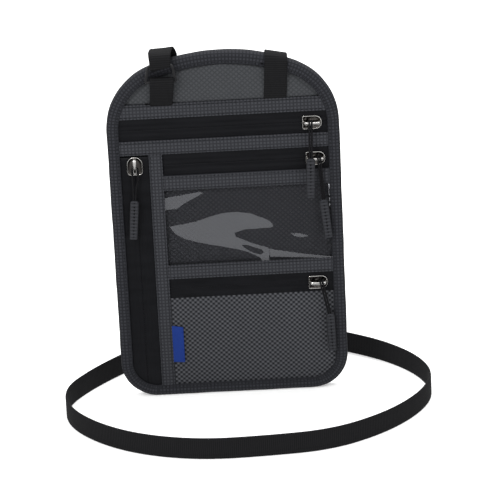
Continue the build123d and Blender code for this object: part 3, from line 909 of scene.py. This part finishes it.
def lining(node, seed):
    """An inner layer: thin plain fabric, slightly wavy."""

    def shape(x, z):
        return 0.05 * ripple(x, z, 40.0, seed) - 0.12

    _, depths = box_mm(node)
    zs = np.concatenate([[3.1], np.arange(5.0, POUCH_TOP - 4.0, 6.0), [POUCH_TOP - 3.1]])
    piece = make(node, *across_pouch(zs, 22, 3.0, depths, shape), "pouch", "lining", "lining")


lining("rear_lining", 21)
lining("pocket_divider", 22)
lining("front_lining", 23)


def mesh_pocket():
    """The lower pocket's embossed panel, bumps modelled, bellied out a little between its seams."""
    (x0, _, _, z1), _ = box_mm("mesh_pocket_panel")

    def shape(x, z):
        sides = np.minimum(x - x0, HALF - BINDING_WIDTH - x)
        ends = np.minimum(z - BINDING_WIDTH, z1 - z)
        belly = 0.55 * ease(np.clip(np.minimum(sides, ends) / 10.0, 0, 1))
        bumps = np.cos(2 * math.pi * x / MESH_PITCH[0]) * np.cos(2 * math.pi * z / MESH_PITCH[1])
        return belly * (1 + 0.35 * ripple(x, z, 42.0, 31)) + 0.18 * bumps - 0.15

    made = panel_between("mesh_pocket_panel", shape, step=0.5, edge=0.5, ends=(True, False))
    piece = make("mesh_pocket_panel", *made, "pouch", "mesh", "mesh")


mesh_pocket()


def window_backing():
    """The ripstop behind the clear window, almost flat."""

    def shape(x, z):
        return 0.12 * ripple(x, z, 30.0, 41)

    made = panel_between("window_backing", shape, step=1.6, edge=0.3, ends=(True, False))
    piece = make("window_backing", *made, "pouch", "backing", "ripstop")


window_backing()

# Where the film leans back and mirrors what is beyond the dark card: how steeply, and the (x, z) outline
LEANS = [
    (0.11, [(-36, 122.2), (-14.8, 125.3), (-12.9, 124.3), (-23.6, 118.8), (-28.3, 115.7), (-36, 115.4)]),
    (
        0.18,
        [
            (-33.1, 105.0), (-18.6, 106.9), (-4.2, 111.0), (5.0, 111.6), (12.8, 110.4), (23.9, 105.2), (25.8, 102.0),
            (23.5, 101.0), (9.6, 101.1), (3.8, 99.0), (4.5, 96.8), (12.0, 93.0), (26.0, 87.3), (43.0, 84.0),
            (60.0, 81.4), (60.0, 80.6), (34.2, 82.6), (23.2, 83.4), (22.4, 79.8), (19.0, 79.8), (16.8, 83.6),
            (10.3, 87.2), (4.6, 89.0), (-5.1, 91.6), (-16.4, 94.4), (-24.8, 97.2), (-30.2, 100.8),
        ],
    ),
    (0.13, [(35.0, 96.9), (40.0, 96.9), (46.0, 95.1), (42.0, 94.3), (38.0, 95.0)]),
]
# The part of the long swirl that doesn't lean back
HOLLOW = [(7.6, 91.5), (10.5, 91.3), (16.7, 88.8), (19.7, 86.3), (18.0, 85.0), (13.8, 86.5), (9.6, 89.2)]


def inside_by(polygon, x, z):
    """How far each point is inside a polygon, negative outside it."""
    corners = np.array(polygon, float)
    following = np.roll(corners, -1, axis=0)
    best = np.full(x.shape, 1e9)
    inside = np.zeros(x.shape, bool)
    for (ax, az), (bx, bz) in zip(corners, following):
        dx, dz = bx - ax, bz - az
        t = np.clip(((x - ax) * dx + (z - az) * dz) / (dx * dx + dz * dz), 0, 1)
        best = np.minimum(best, np.hypot(x - ax - t * dx, z - az - t * dz))
        crosses = (az > z) != (bz > z)
        at = ax + (z - az) * dx / (dz if abs(dz) > 1e-9 else 1e-9)
        inside ^= crosses & (x < at)
    return np.where(inside, best, -best)


# The film's slope grows to its full lean over this distance, half of it outside the outline
LEAN_EDGE = 0.7
# The folded right edge of the film catches light in three beads: each one's foot, top and radius
BEADS = ((119.4, 126.2, 0.44), (115.9, 117.7, 0.38), (112.8, 114.1, 0.32))
BEAD_X = 58.3


def clear_window():
    """The clear film: one sheet that leans back in long swirls, so only those mirror the lit card."""
    (x0, x1, z0, z1), (back, front) = box_mm("clear_window")
    xs = np.arange(x0, x1 + 0.01, 0.3)
    zs = np.arange(z0, z1 + 0.01, 0.25)
    x, z = np.meshgrid(xs, zs)
    slope = np.zeros(x.shape)
    for lean, polygon in LEANS:
        depth = np.minimum(inside_by(polygon, x, z), -inside_by(HOLLOW, x, z))
        slope -= lean * ease(np.clip(depth / LEAN_EDGE + 0.5, 0, 1))
    slope -= slope.mean(0)[None, :]
    height = np.cumsum(slope, axis=0) * (zs[1] - zs[0])
    height = height + 0.02 * ripple(x, z, 60.0, 51)
    middle = (back + front) / 2
    vertices = np.stack([x, -(middle + height), z], axis=-1).reshape(-1, 3)
    _, quads = grid_quads(*x.shape)
    uv = np.stack([x, z], axis=-1).reshape(-1, 2)
    piece = make("clear_window", vertices, quads.tolist(), uv, "pouch", "film", "clear_film")
    beads = []
    for low, high, radius in BEADS:
        ends = [(BEAD_X, -middle - 0.35, z) for z in (low, high)]
        crest = (BEAD_X + 0.05, -middle - 0.6, (low + high) / 2)
        beads.append(swept(smooth_line([ends[0], crest, ends[1]], 5), FRONT, round_section(radius, 8)))
    make("clear_window_bead", *join(beads), "pouch", "film_edge", "clear_film")


clear_window()


def label():
    """The small folded side label, its fold outward, a little curled."""
    (x0, x1, z0, z1), depths = box_mm("label_tab")
    edge = 0.28
    sewn_in = 0.6

    def shape(x, z):
        drop = rounding(np.minimum(np.minimum(x1 - x, z - z0), z1 - z), edge)
        share = (x - x0) / (x1 - x0)
        return 0.45 * share**2 + 0.1 * ripple(x, z, 14.0, 61) - drop

    start = x0 - sewn_in
    shares = (ticks(start, x1, 0.5, 0, edge) - start) / (x1 - start)
    vertices, faces, uv = sheet(
        ticks(z0, z1, 0.9, edge, edge), shares, lambda z: start, lambda z: x1, *depths, shape
    )
    out = (vertices[:, 0] - x0) / (x1 - x0)
    vertices[:, 2] -= out * (vertices[:, 2] - z0) / (z1 - z0)
    vertices[:, 1] -= 0.5 * np.clip(out, 0, 1)
    make("label_tab", vertices, faces, uv, "pouch", "label", "label")


label()


# ---------------------------------------------------------------- zippers


# Each zipper, and whether it stands upright
ZIPPERS = {"top": False, "cross": False, "lower": False, "side": True}


def zip_tape(name, upright):
    """A zipper's two tapes: coated, with a rolled lip along the slit and a faint pressed line outside it."""
    (x0, x1, z0, z1), depths = box_mm(f"{name}_zip_tape")
    start, stop = (x0, x1) if upright else (z0, z1)
    middle = (start + stop) / 2
    slit, lip = 0.03, 0.9
    halves = []
    for side in (-1, 1):

        def shape(x, z):
            away = np.abs((x if upright else z) - middle) - slit
            bead = 0.1 * bell(away - 0.75, 0.62) - rounding(away, 0.12)
            pressed = -0.06 * bell(away - 2.35, 0.4) + 0.12 * bell(away - 3.6, 0.9)
            return bead + pressed + 0.06 * ripple(x, z, 26.0, 71 + side) + 0.02 * ripple(x, z, 6.0, 75)

        low, high = (middle + slit, stop) if side > 0 else (start, middle - slit)
        fine = ticks(low, high, 0.45, lip if side > 0 else 0, lip if side < 0 else 0)
        if upright:
            rows, shares = np.arange(z0, z1 + 0.01, 1.5), (fine - low) / (high - low)
            ends = (lambda z: min(max(low, -half_width(z, 5.0)), high - 0.1), lambda z: high)
        else:
            rows, shares = fine, np.linspace(0, 1, 70)
            ends = (lambda z: max(x0, -half_width(z, 4.8)), lambda z: min(x1, half_width(z, 4.8)))
        halves.append(sheet(rows, shares, *ends, *depths, shape))
    make(f"{name}_zip_tape", *join(halves), "pouch", "tape", "zip_tape")


COIL_PITCH = 1.3
# How far the coil stops short of each end of its CAD bars
COIL_MARGIN = 1.0


def zip_coil(name, upright):
    """The coil behind the tapes: two rows of round nylon loops that mesh at the middle."""
    (x0, x1, z0, z1), depths = box_mm(f"{name}_zip_coil")
    middle = (x0 + x1) / 2 if upright else (z0 + z1) / 2
    low, high = (z0, z1) if upright else (x0, x1)
    depth = sum(depths) / 2
    turns = int((high - low - 2 * COIL_MARGIN) / COIL_PITCH)
    turn = np.linspace(0, turns * 2 * math.pi, turns * 8 + 1)
    parts = []
    for side in (-1, 1):
        along = low + COIL_MARGIN + turn / (2 * math.pi) * COIL_PITCH + (COIL_PITCH / 2 if side > 0 else 0)
        out = middle + side * (0.85 + 0.9 * np.cos(turn))
        deep = -(depth + 0.42 * np.sin(turn))
        line = np.stack([out, deep, along] if upright else [along, deep, out], axis=1)
        parts.append(swept(line, (1, 0, 0) if upright else (0, 0, 1), round_section(0.22, 5)))
    make(f"{name}_zip_coil", *join(parts), "pouch", "coil", "zip_coil")


# The slider's front, its length, and half of the bridge's line, given as (along the slider, depth)
SLIDER_TOP = 4.5
SLIDER_LENGTH = 11.0
BRIDGE = [(-4.4, 3.8), (-4.4, 5.3), (-3.9, 6.35), (-2.2, 6.65), (0, 6.7)]


def zip_slider(name, upright):
    """A plated slider: a dark plate in a thin rim, and the bridge that its cord is hitched to; the rim and the bridge
    get a paler plating than the plate, which paints highlights along them.
    """
    (x0, x1, z0, z1), _ = box_mm(f"{name}_zip_slider")
    origin = np.array([(x0 + x1) / 2, 0, (z0 + z1) / 2])
    along = np.array([0, 0, 1.0]) if upright else np.array([1.0, 0, 0])
    across = np.array([-1.0, 0, 0]) if upright else np.array([0, 0, 1.0])
    top = SLIDER_TOP
    wide, tail, nose = (8.8, 2.2, 4.35) if upright else (8.0, 0.9, 3.7)
    profile = [
        (0.6, top - 1.25), (0.2, top - 1.15), (0.02, top - 0.9), (0.0, top - 0.35), (0.3, top - 0.1),
        (0.75, top - 0.3), (1.2, top - 0.5), (1.9, top - 0.5), (2.4, top - 0.42),
    ]
    body = plate(rounded(SLIDER_LENGTH, wide, tail, nose), profile, origin, along, across)
    make(f"{name}_zip_slider", *body, f"{name}_slider", "gunmetal", "gunmetal")
    flat = rounded(SLIDER_LENGTH - 0.5, wide - 0.5, tail - 0.25, nose - 0.25)
    flat = flat[np.linalg.norm(flat - np.roll(flat, 1, axis=0), axis=1) > 0.03]
    rim = origin + flat[:, :1] * along + flat[:, 1:] * across + FRONT * (top - 0.05)
    bridge = BRIDGE + [(-a, d) for a, d in BRIDGE[-2::-1]]
    line = smooth_line([tuple(origin + along * a + FRONT * d) for a, d in bridge], 6)
    # painted highlight: the rim and the bridge are made in the paler plating
    rim_and_bridge_painted_highlight = [
        swept(rim, FRONT, round_section(0.22, 8), closed=True),
        swept(line, across, round_section(0.92, 14, 0.45)),
    ]
    make(f"{name}_zip_slider_rim", *join(rim_and_bridge_painted_highlight), f"{name}_slider", "bright", "gunmetal")


for zipper, stands in ZIPPERS.items():
    zip_tape(zipper, stands)
    zip_coil(zipper, stands)
for zipper, stands in ZIPPERS.items():
    zip_slider(zipper, stands)


# ---------------------------------------------------------------- pulls

# How far each grip leans from upright, in degrees
LEANING = {"top": -2.0, "cross": 5.6, "lower": 1.5, "side": -4.7}
CORD_RADIUS = 0.55


def joint_place(name):
    """A hinge's place in millimetres."""
    return np.array(next(j["pos_m"] for j in frame["joints"] if j["name"] == name)) / MM


def pull_cord(name):
    """A cord loop from the grip to the slider's bridge: round the bridge, or on the side zipper flat over it."""
    root, tip = joint_place(f"{name}_pull_lift"), joint_place(f"{name}_pull_swing")
    up = unit(root - tip)
    loop_way = np.array([0, 1.0, 0]) if name == "side" else np.array([1.0, 0, 0])
    flat = unit(loop_way - up * up.dot(loop_way))
    side = np.cross(up, flat)
    end = 1.6 - np.linalg.norm(root - tip)
    # One strand of the loop, from the grip to the bridge: its distance out, along the pull, and forward
    if name == "side":
        half = [
            (0.55, end, 0), (0.6, end * 0.8, 0), (0.95, end * 0.52, 0), (1.62, end * 0.34, 0), (1.62, -1.7, 0),
            (1.6, -0.5, 0), (0.9, 0.3, 0),
        ]
    else:
        half = [
            (0.6, end, 0), (0.6, end * 0.8, 0), (0.62, end * 0.5, 0.1), (0.65, -4.5, 0.5), (0.7, -2.2, 1.4),
            (0.7, 0, 1.7), (0.72, 1.6, 1.5), (0.75, 1.9, 0), (0.8, 1.6, -1.4), (0.8, 0, -1.65), (0.7, -1.8, -1.2),
            (0.25, -2.1, -0.6),
        ]
        flat, side = side, flat
    route = []
    for way, points in ((1, half), (-1, half[::-1])):
        for out, b, fore in points:
            point = root + way * out * side + b * up - fore * flat
            if name == "side" and b > end * 0.4:
                # This cord leans, so near the bridge its strands are kept over the slider's middle
                point[0] -= b * up[0]
            route.append(tuple(point))
    width_way = flat if name == "side" else side
    cord = swept(smooth_line(route, 8), width_way, round_section(CORD_RADIUS, 9))
    make(f"{name}_pull_cord", *cord, f"{name}_cord", "cord", "cord")


def pull_grip(name):
    """The folded, sewn fabric grip: rounded at its top, dented at each stitch, and a little bowed."""
    lean = math.radians(LEANING[name])
    across = np.array([math.cos(lean), 0, math.sin(lean)])
    upward = np.array([-math.sin(lean), 0, math.cos(lean)])
    half_long, half_wide, half_thick = GRIP_LENGTH / 2, GRIP_WIDTH / 2, GRIP_THICKNESS / 2
    crowned = 1.5
    middle = joint_place(f"{name}_pull_swing") - upward * (half_long - half_wide)
    columns = np.sin(np.linspace(-math.pi / 2, math.pi / 2, 23)) * half_wide
    rows = np.concatenate([
        [-half_long, -half_long + 0.1, -half_long + 0.35],
        np.arange(-half_long + 0.7, half_long - crowned - 0.1, 0.3),
        half_long - crowned + crowned * np.sin(np.linspace(0, math.pi / 2, 8)),
    ])
    a, b = np.meshgrid(columns, rows)
    crown = np.clip((b - (half_long - crowned)) / crowned, 0, 1)
    narrow = (1 - 0.55 * (1 - np.sqrt(1 - crown**2))) * (1 - 0.1 * np.clip(-b / half_long, 0, 1))
    edge = (1 - np.abs(a / half_wide) ** 5) ** 0.5
    ends = np.clip((half_long - np.abs(b)) / 0.5, 0, 1)
    ends = np.sqrt(1 - (1 - ends) ** 2)
    rungs = (0.5 + 0.5 * np.cos(2 * math.pi * b / GRIP_PITCH)) ** 2
    dents = rungs * (0.3 * bell(a, 0.6) + 0.16)
    folds = 0.1 * bell(np.abs(a) - 1.3, 0.5)
    bow = 0.12 * np.sin(b / GRIP_LENGTH * 5 + len(name))
    _, quads = grid_quads(*a.shape)
    uv = np.stack([a, b], axis=-1).reshape(-1, 2)
    faces = []
    for facing in (1, -1):
        depth = facing * edge * ends * (half_thick - 0.12 + folds - dents) + bow
        points = middle + (a * narrow)[..., None] * across + b[..., None] * upward + depth[..., None] * FRONT
        faces.append((points.reshape(-1, 3), quads[:, ::facing].tolist(), uv))
    make(f"{name}_pull_grip", *join(faces), f"{name}_grip", "grip", "grip", weld=True)
    seams = []
    for way in (FRONT, -FRONT):
        start = middle + upward * (half_long - 2.2) + way * (half_thick - 0.42)
        stop = middle - upward * (half_long - 0.6) + way * (half_thick - 0.42)
        seams.append(stitches([start, stop], way, GRIP_PITCH, length=1.2, width=0.55, lift=0.0, start=0.75))
    make(f"{name}_pull_grip_stitching", *join(seams), f"{name}_grip", "black_thread", "grip")


for zipper in ZIPPERS:
    pull_cord(zipper)
    pull_grip(zipper)


# ---------------------------------------------------------------- held ends of the strap, tab and ring

RIGHT_X = 31.0
LEFT_X = -33.2


def held(name, x, points, lean=((0, 0), (1, 0)), tilt=((0, 0), (1, 0)), gather=((0, 1), (1, 1))):
    """A held length of webbing, its middle line given as (y, z).

    By share of its length, lean moves it sideways, tilt turns its width, and gather narrows it.
    """
    line = smooth_line([(x, y, z) for y, z in points], 10)
    share = lengths(line) / lengths(line)[-1]
    line[:, 0] += np.interp(share, *zip(*lean))
    turn = np.radians(np.interp(share, *zip(*tilt)))
    across = np.stack([np.cos(turn), np.zeros(len(line)), np.sin(turn)], axis=1)
    section = ribbon_section(*WEBBING)
    vertices, faces, uv = swept(line, across, section)
    middle = np.repeat(line, len(section), axis=0)
    width = np.repeat(np.interp(share, *zip(*gather)), len(section))
    vertices[:, 0] = middle[:, 0] + (vertices[:, 0] - middle[:, 0]) * width
    make(name, vertices, faces, uv, "pouch", "webbing", "webbing")


held(
    "strap_right_end",
    RIGHT_X,
    [
        (-2.9, 178.2), (-3.4, 182.0), (-5.0, 190.0), (-5.35, 196.5), (-5.4, 202.6), (-3.6, 204.8), (2.2, 204.8),
        (4.9, 202.8), (6.4, 195.0), (6.8, 185.0), (6.95, 183.4),
    ],
    lean=((0, -1.1), (0.5, 0.5), (0.62, 0.4), (1, 0)),
    tilt=((0, 0), (0.3, -1), (0.45, -12), (0.6, -12), (0.8, 0), (1, 0)),
)
held(
    "strap_left_end",
    LEFT_X,
    [
        (-5.55, 208.2), (-5.55, 205.5), (-5.75, 202.4), (-7.9, 201.7), (-10.2, 202.3), (-10.3, 204.5),
        (-10.2, 207.2), (-8.8, 210.0), (-4.0, 210.5), (1.4, 210.2), (4.6, 207.6), (6.3, 197.0), (6.8, 185.0),
        (6.95, 183.4),
    ],
    lean=((0, 0), (0.2, 0.1), (0.35, 0.0), (0.5, 1.0), (0.62, 3.4), (0.72, 3.0), (1, 0)),
    tilt=((0, 6), (0.12, 9), (0.24, 9), (0.34, 2), (0.55, 3), (0.66, 8), (0.8, 0), (1, 0)),
    gather=((0, 0.9), (0.18, 0.9), (0.3, 0.98), (0.4, 1), (1, 1)),
)
held(
    "ring_tab",
    LEFT_X,
    [
        (-2.9, 178.3), (-3.3, 181.0), (-5.05, 188.0), (-5.2, 192.4), (-5.35, 195.1), (-6.95, 195.5), (-8.55, 195.1),
        (-8.7, 192.4), (-7.2, 187.0), (-4.6, 181.0), (-3.3, 178.3),
    ],
    lean=((0, -0.6), (0.4, 0.5), (0.6, 0.5), (1, -0.6)),
    gather=((0, 1), (0.4, 1.05), (0.6, 1.05), (1, 1)),
)


def bar_tack(name, x, z, depth, long, count):
    """A short dense bar of thread that locks a seam."""
    rows = []
    for step in range(count):
        place = x + (step - (count - 1) / 2) * 0.42
        path = [(place, -depth, z - long), (place, -depth, z + long)]
        rows.append(stitches(path, FRONT, long * 2 - 0.02, long * 1.7, 0.4))
    make(name, *join(rows), "pouch", "black_thread", "webbing")


bar_tack("left_tab_bar_tack", -41.2, 179.4, 3.95, 0.45, 9)
bar_tack("crown_bar_tack", 23.4, 200.2, 4.45, 0.55, 3)


def ring():
    """The wire ring: a rounded frame, wider at its lower bar, that the tab and the strap fold round."""
    (_, _, _, z1), (_, front) = box_mm("strap_ring")
    lower = joint_place("ring_rock")
    upper = np.array([lower[0], -front + 1.0, z1 - 1.0])
    rise = unit(upper - lower)
    tall = np.linalg.norm(upper - lower)
    sideways = np.array([1.0, 0, 0])
    # Each corner: how far out its bend ends, its height above the lower bar, its radius, and where its bend starts
    corners = [(8.4, 1.3, 1.3, -85), (6.9, tall - 0.9, 1.5, 5), (-6.9, tall - 0.9, 1.5, 90), (-8.4, 1.3, 1.3, 180)]
    flat = []
    for x, z, radius, start in corners:
        for turn in np.radians(np.linspace(start, start + 85, 9)):
            flat.append((x - math.copysign(radius, x) + radius * math.cos(turn), z + radius * math.sin(turn)))
    flat = np.array(flat)
    line = lower + flat[:, :1] * sideways + flat[:, 1:] * rise
    wire = swept(line, np.cross(sideways, rise), round_section(0.85, 14), closed=True)
    make("strap_ring", *wire, "ring", "ring", "ring")


ring()


# ---------------------------------------------------------------- floor and lights


WHITE = (1.0, 1.0, 1.0, 1.0)
# Each part of the stage: its lowest and highest x and y, and its height
FLOOR = (-12, 12, -12, 12, 0.0)
LIT_CARD = (-12, 12, -12, 12, 0.001)
DARK_CARD = (-0.45, 0.45, -0.35, -0.1, 0.0015)
FLOOR_GLOW, CARD_GLOW, WORLD_GLOW = 0.3, 0.55, 0.85


def flat_mesh(name, x0, x1, y0, y1, z, material):
    """A flat rectangle of the stage."""
    mesh = bpy.data.meshes.new(name)
    mesh.from_pydata([(x0, y0, z), (x1, y0, z), (x1, y1, z), (x0, y1, z)], [], [(0, 1, 2, 3)])
    mesh.materials.append(material)
    piece = bpy.data.objects.new(name, mesh)
    scene.collection.objects.link(piece)
    return piece


def plain_material(name, low, high, scale, glow=0.0):
    """A matt grey that clouds between two tones, and glows by that much."""
    material = bpy.data.materials.new(name)
    material.use_nodes = True
    tree = material.node_tree
    place = tree.nodes.new("ShaderNodeTexCoord")
    cloud = tree.nodes.new("ShaderNodeTexNoise")
    cloud.inputs["Scale"].default_value = scale
    ramp = tree.nodes.new("ShaderNodeMix")
    ramp.data_type = "RGBA"
    ramp.inputs[6].default_value = (low, low, low, 1)
    ramp.inputs[7].default_value = (high, high, high, 1)
    tree.links.new(place.outputs["Object"], cloud.inputs["Vector"])
    tree.links.new(cloud.outputs[0], ramp.inputs[0])
    bsdf = tree.nodes["Principled BSDF"]
    tree.links.new(ramp.outputs[2], bsdf.inputs["Base Color"])
    bsdf.inputs["Roughness"].default_value = 0.95
    bsdf.inputs["Specular IOR Level"].default_value = 0.0
    bsdf.inputs["Emission Color"].default_value = WHITE
    bsdf.inputs["Emission Strength"].default_value = glow
    return material


flat_mesh("floor", *FLOOR, plain_material("pale_floor", 0.93, 0.95, 1.5, FLOOR_GLOW))
# A dark card on the table in front of the pouch, and a dim lit card on the rest of the table, which glossy surfaces
# mirror in place of the floor. Nothing but glossy reflections sees either card.
dark_card = flat_mesh("dark_card", *DARK_CARD, plain_material("dark_card", 0.004, 0.006, 4.0))
lit_material = plain_material("lit_card", 0.02, 0.025, 4.0, CARD_GLOW)
lit_material.cycles.emission_sampling = "NONE"
lit_card = flat_mesh("lit_card", *LIT_CARD, lit_material)
for card in (dark_card, lit_card):
    card.visible_camera = False
    card.visible_diffuse = False
    card.visible_transmission = False
    card.visible_shadow = False

world = bpy.data.worlds.new("studio")
scene.world = world
world.use_nodes = True
world.node_tree.nodes["Background"].inputs["Color"].default_value = WHITE
world.node_tree.nodes["Background"].inputs["Strength"].default_value = WORLD_GLOW


def softbox(name, place, size, power):
    """A round soft light of that size in metres and power in watts, aimed at the pouch."""
    light = bpy.data.lights.new(name, "AREA")
    light.shape = "DISK"
    light.size = size
    light.energy = power
    holder = bpy.data.objects.new(name, light)
    scene.collection.objects.link(holder)
    holder.location = place
    holder.rotation_euler = (TARGET - Vector(place)).to_track_quat("-Z", "Y").to_euler()


softbox("key", (-0.9, -1.4, 1.6), 0.8, 18.0)
softbox("fill", (1.1, -1.2, 1.3), 0.9, 3.0)
softbox("overhead", (0.1, 0.5, 2.0), 1.0, 30.0)
